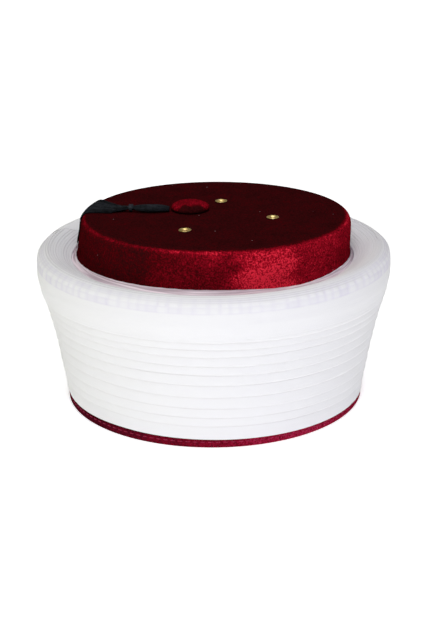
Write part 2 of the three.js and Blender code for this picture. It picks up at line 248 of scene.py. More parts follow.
def lathe(profile, sides=SIDES, closed=True):
    """Points and faces of a turned form, from its (radius, height) pairs."""
    profile = np.asarray(profile, float)
    angles = np.linspace(0, 2 * math.pi, sides, endpoint=False)
    points = polar(profile[:, :1], angles[None, :], profile[:, 1:])
    return points.reshape(-1, 3), quads(len(profile), sides, wrap_rows=closed, wrap_columns=True)


def arc(r, z, radius, start, end, steps):
    """An arc of a profile round (r, z), between angles in degrees."""
    angles = np.radians(np.linspace(start, end, steps + 1))
    return [(r + radius * math.cos(a), z + radius * math.sin(a)) for a in angles]


def line(start, end, steps):
    """A straight part of a profile, in equal steps."""
    return [tuple(p) for p in np.linspace(start, end, steps + 1)]


def curve_through(points, steps):
    """Smooth paths through rows of points, of the shape (paths, points, 3)."""
    first = 2 * points[:, :1] - points[:, 1:2]
    last = 2 * points[:, -1:] - points[:, -2:-1]
    p = np.concatenate([first, points, last], axis=1)
    t = (np.arange(steps) / steps)[None, None, :, None]
    a, b, c, d = (p[:, i:p.shape[1] - 3 + i, None, :] for i in range(4))
    bent = (2 * a - 5 * b + 4 * c - d) * t ** 2 + (3 * b - a - 3 * c + d) * t ** 3
    made = 0.5 * (2 * b + (c - a) * t + bent)
    return np.concatenate([made.reshape(len(points), -1, 3), points[:, -1:]], axis=1)


def tubes(paths, radii, sides):
    """Points and faces of round threads along paths of the shape (paths, points, 3)."""
    paths = np.asarray(paths, float)
    count, length = paths.shape[:2]
    along = np.gradient(paths, axis=1)
    along /= np.linalg.norm(along, axis=2, keepdims=True)
    # No thread runs in this direction.
    unused_way = np.array([0.31, 0.22, 0.92])
    across = np.cross(along, unused_way)
    across /= np.linalg.norm(across, axis=2, keepdims=True)
    other = np.cross(along, across)
    turn = np.linspace(0, 2 * math.pi, sides, endpoint=False)[None, None, :, None]
    ring = across[:, :, None] * np.cos(turn) + other[:, :, None] * np.sin(turn)
    points = paths[:, :, None] + ring * np.broadcast_to(radii, (count, length))[:, :, None, None]
    faces = []
    for i in range(count):
        base = i * length * sides
        faces += [tuple(base + k for k in face) for face in quads(length, sides, wrap_columns=True)]
        faces.append(tuple(base + k for k in range(sides)))
        faces.append(tuple(base + (length - 1) * sides + k for k in range(sides)))
    return points.reshape(-1, 3), faces


def mesh_of(name, form, weld=False):
    """A mesh that faces outwards. A form that closes on the axis is welded there."""
    points, faces = form
    mesh = bpy.data.meshes.new(name)
    mesh.from_pydata((np.asarray(points) * MM).tolist(), [], faces)
    shape = bmesh.new()
    shape.from_mesh(mesh)
    if weld:
        bmesh.ops.remove_doubles(shape, verts=shape.verts, dist=1e-6)
    bmesh.ops.recalc_face_normals(shape, faces=shape.faces)
    shape.to_mesh(mesh)
    shape.free()
    return mesh


def add_piece(name, form, finish, node, sharp=35, weld=False):
    """Makes a piece that rides on the part and stands for one of its solids."""
    mesh = mesh_of(name, form, weld)
    mesh.shade_smooth()
    mesh.set_sharp_from_angle(angle=math.radians(sharp))
    mesh.materials.append(finish)
    piece = bpy.data.objects.new(name, mesh)
    scene.collection.objects.link(piece)
    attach(piece, "root")
    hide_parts(node)
    return piece


def corners_of(piece):
    """The piece's points, in millimetres."""
    flat = np.empty(3 * len(piece.data.vertices))
    piece.data.vertices.foreach_get("co", flat)
    return flat.reshape(-1, 3) / MM


def store(piece, name, values):
    """Keeps one number for each point of the piece, for its material."""
    kept = piece.data.attributes.new(name, "FLOAT", "POINT")
    kept.data.foreach_set("value", np.asarray(values, np.float32))


# Materials


def grey(value):
    return (value, value, value)


class Finish:
    """A material with a Principled shader and short calls for the nodes that feed it."""

    def __init__(self, name):
        self.material = bpy.data.materials.new(name)
        self.material.use_nodes = True
        self.tree = self.material.node_tree
        self.shader = self.tree.nodes["Principled BSDF"]
        self.place = self.add("TexCoord").outputs["Object"]

    def add(self, kind):
        return self.tree.nodes.new("ShaderNode" + kind)

    def join(self, source, socket):
        self.tree.links.new(source, socket)

    def put(self, **values):
        """Sets sockets of the shader, whose names are written with underscores."""
        for name, value in values.items():
            self.shader.inputs[name.replace("_", " ")].default_value = value

    def feed(self, name, source):
        self.join(source, self.shader.inputs[name])

    def noise(self, scale, detail=2.0, stretch=(1, 1, 1)):
        """A soft noise from 0 to 1, with so many waves to the metre."""
        mapping = self.add("Mapping")
        mapping.inputs["Scale"].default_value = stretch
        self.join(self.place, mapping.inputs["Vector"])
        node = self.add("TexNoise")
        node.inputs["Scale"].default_value = scale
        node.inputs["Detail"].default_value = detail
        self.join(mapping.outputs["Vector"], node.inputs["Vector"])
        return node.outputs["Fac"]

    def attribute(self, name):
        node = self.add("Attribute")
        node.attribute_name = name
        return node.outputs["Fac"]

    def math(self, operation, a, b):
        node = self.add("Math")
        node.operation = operation
        for socket, value in zip(node.inputs, (a, b)):
            if isinstance(value, (int, float)):
                socket.default_value = value
            else:
                self.join(value, socket)
        return node.outputs["Value"]

    def swing(self, source, size):
        """A noise turned into a number that goes from -size to size."""
        return self.math("MULTIPLY", self.math("SUBTRACT", source, 0.5), 2 * size)

    def specks(self, scale, size, share):
        """One in a few small round specks scattered over the surface, from 0 to 1."""
        node = self.add("TexVoronoi")
        node.inputs["Scale"].default_value = scale
        self.join(self.place, node.inputs["Vector"])
        chosen = self.math("LESS_THAN", node.outputs["Color"], share)
        return self.math("MULTIPLY", chosen, self.math("LESS_THAN", node.outputs["Distance"], size))

    def ramp(self, source, stops):
        """A colour or a grey that follows a number, from (number, colour) pairs."""
        node = self.add("ValToRGB")
        elements = node.color_ramp.elements
        while len(elements) < len(stops):
            elements.new(0.5)
        for element, (number, colour) in zip(elements, stops):
            element.position = number
            element.color = (*colour, 1)
        self.join(source, node.inputs["Fac"])
        return node.outputs["Color"]

    def blend(self, share, first, colour):
        """A colour that turns into another by a share."""
        node = self.add("Mix")
        node.data_type = "RGBA"
        sockets = {socket.identifier: socket for socket in node.inputs}
        self.join(share, sockets["Factor_Float"])
        self.join(first, sockets["A_Color"])
        sockets["B_Color"].default_value = (*colour, 1)
        return next(socket for socket in node.outputs if socket.identifier == "Result_Color")

    def bump(self, height, depth, under=None):
        """Relief of a depth in millimetres."""
        node = self.add("Bump")
        node.inputs["Distance"].default_value = depth * MM
        self.join(height, node.inputs["Height"])
        if under is not None:
            self.join(under, node.inputs["Normal"])
        return node.outputs["Normal"]


def velvet(name, stops):
    """Pile whose colour follows the point attribute pile_sheen_and_shade, its painted sheen and shade, with
    grain, soft patches and a little lint.
    """
    made = Finish(name)
    grain = made.noise(1100, 3)
    patch = made.noise(90, 2)
    pile_sheen_and_shade = made.math("MULTIPLY", made.attribute("pile_sheen_and_shade"), made.math("ADD", 1.0, made.swing(grain, 1.1)))
    pile_sheen_and_shade = made.math("ADD", pile_sheen_and_shade, made.swing(patch, 0.09))
    pile_sheen_and_shade = made.math("ADD", pile_sheen_and_shade, made.swing(made.noise(620, 2), 0.18))
    lint = made.math("MULTIPLY", made.specks(140, 0.055, 0.25), 0.6)
    made.feed("Base Color", made.blend(lint, made.ramp(pile_sheen_and_shade, stops), (0.6, 0.42, 0.44)))
    made.feed("Normal", made.bump(grain, 0.4))
    made.put(Roughness=0.9, Specular_IOR_Level=0.0)
    return made.material


def cotton(name):
    """Fine white cotton: a faint weave and soft unevenness, darker in its border, and in painted shade
    between its plies and under each hem.
    """
    made = Finish(name)
    weave = made.noise(1500, 2)
    crumple = made.noise(22, 3, (1, 1, 10))
    unevenness = made.swing(made.noise(60, 3, (1, 1, 4)), 0.15)
    shade = made.math("ADD", made.attribute("border"), unevenness)
    colour = made.ramp(shade, [(0.0, (0.87, 0.87, 0.885)), (1.0, (0.765, 0.745, 0.83))])
    # The grey of the painted shade between plies and under the hems.
    made.feed("Base Color", made.blend(made.attribute("ply_tone_and_shade"), colour, (0.66, 0.64, 0.67)))
    made.feed("Normal", made.bump(weave, 0.06, made.bump(crumple, 0.25)))
    made.put(Roughness=0.9, Specular_IOR_Level=0.1)
    return made.material


def gauze(name):
    """Stiff see-through gauze, whose threads show as fine level stripes. Its pink and mauve are painted red
    light from the velvet beside it.
    """
    made = Finish(name)
    threads = made.noise(1500, 2, (0.02, 0.02, 1))
    # Painted red light from the velvet: the pink and mauve of the stripes.
    made.feed("Base Color", made.ramp(threads, [(0.38, (0.56, 0.44, 0.5)), (0.62, (0.9, 0.79, 0.84))]))
    made.feed("Alpha", made.ramp(threads, [(0.38, grey(0.88)), (0.62, grey(0.98))]))
    made.feed("Normal", made.bump(threads, 0.15))
    made.put(Roughness=0.6)
    return made.material


def silk(name):
    """Dark thread whose shade differs a little from strand to strand: partly its own tone, partly painted
    highlights on the lighter strands.
    """
    made = Finish(name)
    shade = made.math("ADD", made.attribute("shade"), made.swing(made.noise(380, 2), 0.5))
    stops = [(0.0, (0.0015, 0.002, 0.0026)), (1.0, (0.046, 0.051, 0.062))]
    made.feed("Base Color", made.ramp(shade, stops))
    made.feed("Normal", made.bump(made.noise(2500, 1), 0.05))
    made.put(Roughness=0.55, Specular_IOR_Level=0.08)
    return made.material


def brass(name):
    """Polished brass, a little duller where it is worn."""
    made = Finish(name)
    wear = made.noise(420, 3)
    made.feed("Base Color", made.ramp(wear, [(0.3, (0.62, 0.42, 0.12)), (0.7, (0.97, 0.78, 0.36))]))
    made.feed("Roughness", made.ramp(wear, [(0.3, grey(0.4)), (0.7, grey(0.28))]))
    made.feed("Normal", made.bump(made.noise(900, 2), 0.04))
    made.put(Metallic=0.7)
    return made.material


def thread(name):
    """Twisted crimson sewing thread."""
    made = Finish(name)
    twist = made.noise(1600, 1)
    made.feed("Base Color", made.ramp(twist, [(0.3, (0.2, 0.008, 0.03)), (0.7, (0.42, 0.03, 0.08))]))
    made.feed("Normal", made.bump(twist, 0.1))
    made.put(Roughness=0.7, Specular_IOR_Level=0.1)
    return made.material


def paper(name):
    """The floor: plain paper, lit a little from within, and more so far off, so that it stays white."""
    made = Finish(name)
    made.feed("Base Color", made.ramp(made.noise(6, 2), [(0.3, grey(0.9)), (0.7, grey(0.93))]))
    away = made.add("VectorMath")
    away.operation = "LENGTH"
    made.join(made.place, away.inputs[0])
    far = made.math("MULTIPLY", away.outputs["Value"], 0.5)
    made.feed("Emission Strength", made.ramp(far, [(0.2, grey(0.57)), (0.6, grey(1))]))
    made.put(Roughness=0.95, Emission_Color=(1, 1, 1, 1))
    return made.material


# The stops turn the painted sheen and shade into colour, from the shaded top to the bright highlight.
VELVET = velvet("velvet", [
    (0.0, (0.01, 0.001, 0.0013)), (0.2, (0.038, 0.0038, 0.0046)), (0.3, (0.06, 0.0017, 0.0034)),
    (0.42, (0.115, 0.002, 0.005)), (0.55, (0.2, 0.003, 0.01)), (0.75, (0.37, 0.005, 0.016)),
    (1.0, (0.76, 0.025, 0.052)),
])
RIBBON = velvet("ribbon", [
    (0.0, (0.02, 0.002, 0.005)), (0.3, (0.09, 0.004, 0.013)), (0.5, (0.2, 0.004, 0.016)),
    (0.75, (0.36, 0.012, 0.05)), (1.0, (0.55, 0.05, 0.12)),
])
COTTON = cotton("cotton")
GAUZE = gauze("gauze")
SILK = silk("silk")
BRASS = brass("brass")
THREAD = thread("thread")


# The cap


def crown_radius(z):
    """Outer radius of the cap's tapered side."""
    return mix(CROWN_BASE, CROWN.top_radius, (z - CROWN_BOTTOM) / (EDGE.z - CROWN_BOTTOM))


def from_front(points):
    """How far each point lies round the cap from the front, in degrees, plus towards the right."""
    return aside(np.degrees(np.arctan2(points[:, 1], points[:, 0])), -90)


def settled(points):
    """Moves points of the cap, and of what lies over its edge, to where the cap's top has settled."""
    x, y, z = np.moveaxis(points, -1, 0)
    outwards = smooth(SETTLED.start_r, SETTLED.end_r, np.hypot(x, y))
    moved = outwards * smooth(SETTLED.start_z, SETTLED.end_z, z)
    angle = np.arctan2(y, x)

    def around(azimuth):
        return np.clip(np.cos(angle - math.radians(azimuth)), 0, 1) ** 2

    sunk = SETTLED.back_right * around(SETTLED.right_at) + SETTLED.back_left * around(SETTLED.left_at)
    return np.stack([x + SETTLED.slip * moved, y, z - sunk * moved], -1)


def settle(piece):
    points = settled(corners_of(piece)) * MM
    piece.data.vertices.foreach_set("co", points.ravel())
    piece.data.update()


def pierce(piece, places, radius):
    """Cuts round holes through the top."""
    half = 8
    points, faces = lathe([(0, -half), (radius, -half), (radius, half), (0, half)], 48, closed=False)
    for x, y in places:
        form = (points + (x, y, CROWN.height), faces)
        drill = bpy.data.objects.new("drill", mesh_of("drill", form, weld=True))
        scene.collection.objects.link(drill)
        cut = piece.modifiers.new("cut", "BOOLEAN")
        cut.operation = "DIFFERENCE"
        cut.object = drill
        bpy.context.view_layer.update()
        made = bpy.data.meshes.new_from_object(piece.evaluated_get(bpy.context.evaluated_depsgraph_get()))
        piece.modifiers.clear()
        piece.data = made
        bpy.data.objects.remove(drill)


def cap_sheen_and_shade(points):
    """The cap's painted sheen and shade, in part the pile's lie: lit in patches round the side, shaded on the
    top, with a painted highlight along the edge.
    """
    z = points[:, 2]
    turn = from_front(points)
    side = look_up(CAP_SIDE_SHEEN, turn + waves(z, PILE.ragged))
    # The highlight fades towards the rim, and a small spot beside it is lit there.
    faded = PILE.fade * smooth(*PILE.fade_z, z) * bell(turn, *PILE.highlight)
    spot = PILE.spot * smooth(*PILE.spot_z, z) * bell(turn, *PILE.spot_at)
    side = side * (1 - faded) + spot
    lift = np.degrees(np.arctan2(z - EDGE.z, np.hypot(points[:, 0], points[:, 1]) - EDGE.r))
    above = z > EDGE.z
    on_top = smooth(look_up(TOP_SHADE_STARTS, turn), look_up(TOP_SHADE_ENDS, turn), lift) * above
    # A painted highlight along the rounded edge, broken into patches.
    patches = np.sin(np.radians(17 * turn)) * np.sin(np.radians(41 * turn + 50))
    raised = mix(1, patches, PILE.patchy) * look_up(CAP_EDGE_HIGHLIGHT, turn) * bell(lift, *PILE.edge) * above
    return mix(side, PILE.top, on_top) + raised


def crown():
    """The velvet cap: a hollow tapered wall, a rounded edge and a flat top pierced for the eyelets."""
    inside = CROWN.edge_radius - CROWN.wall
    profile = [
        *line((0, CROWN.height - CROWN.wall), (EDGE.r, CROWN.height - CROWN.wall), 4)[:-1],
        *arc(EDGE.r, EDGE.z, inside, 90, 0, 4),
        *line((CROWN_BASE - CROWN.wall, CROWN_BOTTOM), (CROWN_BASE, CROWN_BOTTOM), 1),
        *line((CROWN_BASE, CROWN_BOTTOM), (CROWN.top_radius, EDGE.z), 24)[1:-1],
        *arc(EDGE.r, EDGE.z, CROWN.edge_radius, 0, 90, 16),
        *line((EDGE.r, CROWN.height), (0, CROWN.height), 12)[1:],
    ]
    piece = add_piece("velvet_cap", lathe(profile, closed=False), VELVET, "crown", 60, weld=True)
    pierce(piece, EYELET_PLACES, EYELET.hole)
    store(piece, "pile_sheen_and_shade", cap_sheen_and_shade(corners_of(piece)))
    settle(piece)


def hem_binding():
    """The binding, folded round the cap's lower edge."""
    thickness, height = BINDING.thickness, BINDING.height
    corner = thickness / 2
    face_from, face_to = BINDING.face_from, height - corner

    def outside(z):
        return crown_radius(z) + GAP

    def inside(z):
        return crown_radius(z) - CROWN.wall - GAP

    profile = [
        *arc(HEAD_RADIUS + corner, corner, corner, 180, 270, 4),
        *arc(CROWN_BASE + GAP + thickness - corner, corner, corner, 270, 360, 4),
        *line((outside(face_from) + thickness, face_from), (outside(face_to) + thickness, face_to), 6),
        *arc(outside(height) + corner, face_to, corner, 30, 150, 4),
        (outside(thickness), thickness),
        (inside(thickness), thickness),
        *arc(inside(height) - corner, face_to, corner, 30, 150, 4),
    ]
    piece = add_piece("binding_tape", lathe(profile, BINDING.sides), RIBBON, "hem_binding")
    points = corners_of(piece)
    # Painted sheen round the binding, and the cloth's painted shadow along its top.
    shaded = smooth(height - BINDING.shade_from, height - BINDING.shade_to, points[:, 2])
    store(piece, "pile_sheen_and_shade", look_up(BINDING_SHEEN, from_front(points)) * (1 - BINDING.shade * shaded))


def stitches():
    """Short threads along the middle of the binding, whose ends dip into it."""
    starts = np.linspace(0, 2 * math.pi, STITCH.count, endpoint=False)[:, None]
    share = np.linspace(0, 1, STITCH.points)[None, :]
    angles = starts + share * STITCH.share * 2 * math.pi / STITCH.count
    near_end = (2 * share - 1) ** 4
    r = crown_radius(STITCH.height) + GAP + BINDING.thickness + STITCH.proud - STITCH.sink * near_end
    paths = polar(r, angles, STITCH.height + STITCH.wander * np.sin(7 * starts))
    radii = STITCH.radius * (1 - STITCH.taper * near_end)
    add_piece("binding_stitches", tubes(paths, radii, STITCH.sides), THREAD, "hem_binding")


# The wound cloth


def hem_z(turn):
    return np.interp(turn, FOLDS[:, 0], FOLDS[:, 1])


def hem_r(turn):
    return np.interp(turn, FOLDS[:, 0], FOLDS[:, 2])


def azimuth_of(turn):
    """The winding rises clockwise seen from above, and a whole turn passes the front."""
    return (-90 - 360 * turn) % 360


def lead_edge(r):
    """Azimuth of the loose end's leading edge, which slants from the brow to the lip."""
    out = np.clip((r - CLOTH.lip_r) / (CLOTH.brow_r - CLOTH.lip_r), 0, 1)
    return mix(TAIL.edge_at_lip, TAIL.edge_at_brow, out)


def pressed(turn, r):
    """How far the loose end presses the turns' tops down where it covers them."""
    azimuth = azimuth_of(turn)
    from_lead = smooth(0, TAIL.press_fade, lead_edge(r) - azimuth)
    return TAIL.press * from_lead * smooth(0, TAIL.press_fade, azimuth - TAIL.far_edge)


def top_height(r):
    """Height of the cloth's top, which climbs from the inner lip to the crest and falls to the brow."""
    inside = r < CLOTH.crest_r
    end_r = np.where(inside, CLOTH.lip_r, CLOTH.brow_r)
    end_z = np.where(inside, CLOTH.lip_z, CLOTH.brow_z)
    bend = np.where(inside, CLOTH.lip_bend, CLOTH.brow_bend)
    return mix(CLOTH.crest_z, end_z, ((r - CLOTH.crest_r) / (end_r - CLOTH.crest_r)) ** bend)


PITCH = (CLOTH.brow_r - CLOTH.lip_r) / (CLOTH.last_turn - SEAT)


def rim_r(turn):
    """Radius of a turn's top edge."""
    return CLOTH.lip_r + PITCH * (turn - SEAT)


def turn_top(turn, r):
    """Height of a turn's top. The tops near the outside lie under the hood."""
    hood_end = mix(CLOTH.crest_r, CLOTH.brow_r, math.cos(math.radians(HOOD.end_angle)))
    hood = mix(HOOD.end_thickness, HOOD.thickness, smooth(hood_end, CLOTH.brow_r, r))
    return top_height(r) - pressed(turn, r) - hood * smooth(hood_end - HOOD.fade, hood_end, r)


def rim_z(turn):
    return turn_top(turn, rim_r(turn) - PITCH / 2)


def face_of(turn, z):
    """Radius of a turn's outer face at a height. The next turn lies on it."""
    low = hem_z(turn)
    return mix(hem_r(turn), rim_r(turn), (z - low) / (rim_z(turn) - low))


def groove(angle):
    """How much wider the groove beside the cap is at azimuths."""
    right = smooth(*GROOVE.right_from, np.cos(np.radians(angle)))
    return GROOVE.extra * bell(aside(angle, GROOVE.towards), 0, GROOVE.spread) - GROOVE.closed_right * right


def sway(angle, z):
    """How far the cloth strays from a round form at azimuths and heights."""
    return waves(np.radians(angle), SWAY_WAVES) * smooth(*SWAY_Z, z)


# How strongly each cell of the border's three rows is tinted.
cell_tone = chance.uniform(0.0, 1.0, (3, BORDER.dashes))


def border_pattern(angle, z):
    """The border's tint and its raised dashes, each from 0 to 1, at azimuths and heights."""
    place = angle / 360 * BORDER.dashes + waves(np.radians(angle), BORDER.wander)
    low_tone, middle_tone, high_tone = cell_tone[:, np.floor(place).astype(int) % BORDER.dashes]
    rung = 1 - smooth(*BORDER.rung, np.minimum(place % 1, 1 - place % 1))

    def row(low, high):
        above = smooth(low - BORDER.blur, low + BORDER.blur, z)
        return above * (1 - smooth(high - BORDER.blur, high + BORDER.blur, z))

    cells = 0.1 + 0.5 * low_tone ** 2 + 0.45 * rung * mix(0.4, 1, high_tone)
    between_dashes = 0.75 * rung * mix(0.3, 1, middle_tone)
    faint = 0.15 + 0.3 * high_tone + 0.3 * rung
    broken = np.abs(np.sin(np.radians(19 * angle) + 2 * np.sin(np.radians(5 * angle))))
    rails = 0.55 * mix(0.35, 1, broken) * sum(bell(z, *rail) for rail in BORDER.rails)
    dash_row = row(*BORDER.row)
    tint = row(*BORDER.stripe) * cells + dash_row * between_dashes + row(*BORDER.upper) * faint + rails
    # The tint has faded at the front.
    kept = mix(BORDER.faded, 1, smooth(*BORDER.faded_within, np.abs(aside(angle, -90))))
    return tint * kept, dash_row * (1 - rung)


def plies(turns, share, band):
    """Painted shade in lines, from 0 to 1, between the plies that show on the ring, over a random tone; share
    runs over a turn's top.
    """
    right = smooth(*PLY_SHADE.right_from, np.cos(np.radians(azimuth_of(turns))))
    strength = mix(1, np.sin(5.1 * turns + 2 * np.sin(3.3 * turns)), PLY_SHADE.uneven) * mix(1, PLY_SHADE.right, right)
    corners = smooth(*PLY_SHADE.outer, share) + 1 - smooth(*PLY_SHADE.inner, share)
    start, middle, end = PLY_SHADE.middle
    inside = smooth(start, middle, share) * (1 - smooth(middle, end, share))
    tone = PLY_SHADE.tone * (0.5 + 0.5 * np.sin(11.7 * turns))
    ring = tone + PLY_SHADE.corner * strength * corners + PLY_SHADE.inside * (1 - strength) * inside
    lines = (0.5 + 0.5 * np.cos(PLY_SHADE.hood_lines * math.pi * share)) ** 1.5
    ragged = mix(1, np.sin(31 * turns + 3 * np.sin(7 * turns)), PLY_SHADE.ragged)
    hood = PLY_SHADE.hood * ragged * smooth(*PLY_SHADE.hood_from, share) * lines
    return mix(ring, hood, band)


def band_taper(rise):
    """How far the band's face is drawn in, at a height over its lower edge."""
    return CLOTH.band_taper * (1 - smooth(0, CLOTH.band_taper_height, rise))


def crease(angle, z):
    """How deep the short crease is at azimuths and heights."""
    share = np.clip((angle - CREASE.start) / (CREASE.end - CREASE.start), 0, 1)
    across = bell(z, mix(CREASE.start_z, CREASE.end_z, share), CREASE.width)
    return CREASE.depth * np.sin(math.pi * share) ** 0.5 * across


def lean(angle, z):
    """How far the crest stands above its usual height at azimuths."""
    a = np.radians(angle)
    rise = LEAN.front * np.clip(-np.sin(a), 0, 1) + LEAN.right * np.clip(np.cos(a), 0, 1)
    return rise * smooth(LEAN.start_z, LEAN.end_z, z)


def winding():
    """The wound cloth, as one spiral strip whose section is a ring of points."""
    band_start = CLOTH.last_turn - 1
    turns = np.concatenate([
        np.arange(CLOTH.first_turn, band_start, 1 / CLOTH.points),
        np.arange(band_start, CLOTH.last_turn, 1 / CLOTH.band_points),
    ])[:, None]
    angle = azimuth_of(turns)
    band = smooth(0, CLOTH.band_fade, turns - CLOTH.last_turn + 1)
    low = hem_z(turns) + smooth(*HEM_WAVES_FROM, turns) * waves(turns, HEM_WAVES)
    over = smooth(*OVERHANG.starts, turns) * (1 - smooth(*OVERHANG.stops, turns))
    low = low - over * (OVERHANG.drop + OVERHANG.right * np.clip(np.cos(np.radians(angle)), 0, 1))
    binding_r = CROWN_BASE + GAP + BINDING.thickness
    high = rim_z(turns) + waves(turns, RIM_WAVES)
    top_out = rim_r(turns) - CLOTH.top_rounding
    corner_z = turn_top(turns, top_out) + high - rim_z(turns)
    shoulder = mix(corner_z - CLOTH.top_rounding, HOOD.start_z, band)
    step = mix(np.maximum(hem_z(turns + 1) - low, CLOTH.least_step), shoulder - low, band)
    fine_from = mix(low + step, BORDER.fine_from, band)

    def clear_of_binding(r, z, room):
        """Radii moved out past the binding where the cloth hangs over it."""
        beside = 1 - smooth(BINDING.height, BINDING.height + OVERHANG.fade, z)
        near = np.minimum(1, OVERHANG.sooner * over) * beside
        return mix(r, np.maximum(r, binding_r + room), near)

    def inner(z):
        r = face_of(np.maximum(turns - 1, SEAT), z) + CLOTH.gap
        return clear_of_binding(r, z, CLOTH.gap)

    def outer(z):
        share = np.clip((z - low) / step, 0, 1)
        fold = CLOTH.step_bulge * np.sin(math.pi * share) - CLOTH.hem_taper * (1 - share)
        swell = CLOTH.band_bulge * np.sin(math.pi / 2 * share) - band_taper(z - low)
        r = face_of(turns, z) + mix(fold, swell, band)
        return clear_of_binding(r, z, OVERHANG.thickness)

    def top(share):
        """A place on a plain turn's top, from its outer corner over the rounding to its inner corner."""
        if share <= CLOTH.top_corner:
            q = share / CLOTH.top_corner * math.pi / 2
            r = top_out + CLOTH.top_rounding * math.cos(q)
            return r, corner_z - CLOTH.top_rounding * (1 - math.sin(q))
        inwards = (share - CLOTH.top_corner) / (1 - CLOTH.top_corner)
        r = mix(top_out, inner(high), inwards)
        rise = turn_top(turns, r) - turn_top(turns, top_out) + CLOTH.top_crown * math.sin(math.pi * inwards)
        return r, corner_z + rise

    def hood(share, depth=0.0):
        """A place on the hood, from its foot to its end, at a depth under its surface."""
        t = math.radians(share * HOOD.end_angle)
        r = CLOTH.crest_r + (outer(HOOD.start_z) - CLOTH.crest_r - depth) * math.cos(t)
        rise = HOOD_RISE - pressed(turns, r) - depth
        return r, HOOD.start_z + rise * math.sin(t)

    def blend(plain, hooded):
        return mix(plain[0], hooded[0], band), mix(plain[1], hooded[1], band)

    hem = low + CLOTH.hem_rounding
    rings = [(mix(inner(low), outer(low), s), low + lift * CLOTH.hem_rounding) for s, lift in UNDERSIDE]
    rings += [(outer(z), z) for z in (mix(hem, fine_from, s) for s in FACE_ROWS)]
    covered_start = len(rings)
    rings += [(outer(z), z) for z in (mix(fine_from, shoulder, s) for s in np.linspace(0, 1, 6))]
    top_start = len(rings)
    top_shares = np.linspace(0, 1, 25)[1:]
    rings += [blend(top(share), hood(share)) for share in top_shares]
    inner_start = len(rings)
    for share in (1, 0.7, 0.35, 0):
        z = top(1)[1] - CLOTH.top_rounding * (1 - 0.7 * share)
        rings.append(blend((inner(z), z), hood(share, mix(HOOD.thickness, HOOD.end_thickness, share))))
    rings += [(inner(z), z) for z in ((low + high) / 2, hem)]
    r = np.concatenate([ring[0] for ring in rings], axis=1)
    z = np.concatenate([ring[1] for ring in rings], axis=1)
    rows, columns = r.shape
    tint, dashes = border_pattern(angle, z)
    on_border = band * (np.arange(columns) < inner_start)
    tilt = np.clip((z - HOOD.start_z) / HOOD_RISE, 0, 1)
    relief = on_border * (BORDER.relief * (2 * dashes - tint) - crease(angle, z))
    r = r + relief * np.sqrt(1 - tilt ** 2)
    z = z + relief * tilt
    inwards = np.clip((CLOTH.crest_r - r) / (CLOTH.crest_r - CLOTH.lip_r), 0, 1)
    r = r + sway(angle, z) + groove(angle) * inwards * smooth(GROOVE.bottom, CLOTH.lip_z, z)
    z = z + lean(angle, z)
    faces = quads(rows, columns, wrap_columns=True)
    faces.append(tuple(range(columns)))
    faces.append(tuple((rows - 1) * columns + k for k in range(columns)))
    form = (polar(r, np.radians(angle), z).reshape(-1, 3), faces)
    piece = add_piece("cloth_turns", form, COTTON, "wound_cloth", sharp=70)
    store(piece, "border", (on_border * tint).ravel())
    ply_tone_and_shade = np.zeros_like(z)
    ply_tone_and_shade[:, top_start:inner_start] = plies(turns, top_shares[None, :], band)
    # Painted shadow: each turn darkens just under the lower edge of the next one.
    ply_tone_and_shade[:, covered_start:top_start] = CLOTH.under_shade * (1 - band)
    store(piece, "ply_tone_and_shade", ply_tone_and_shade.ravel())
    return piece


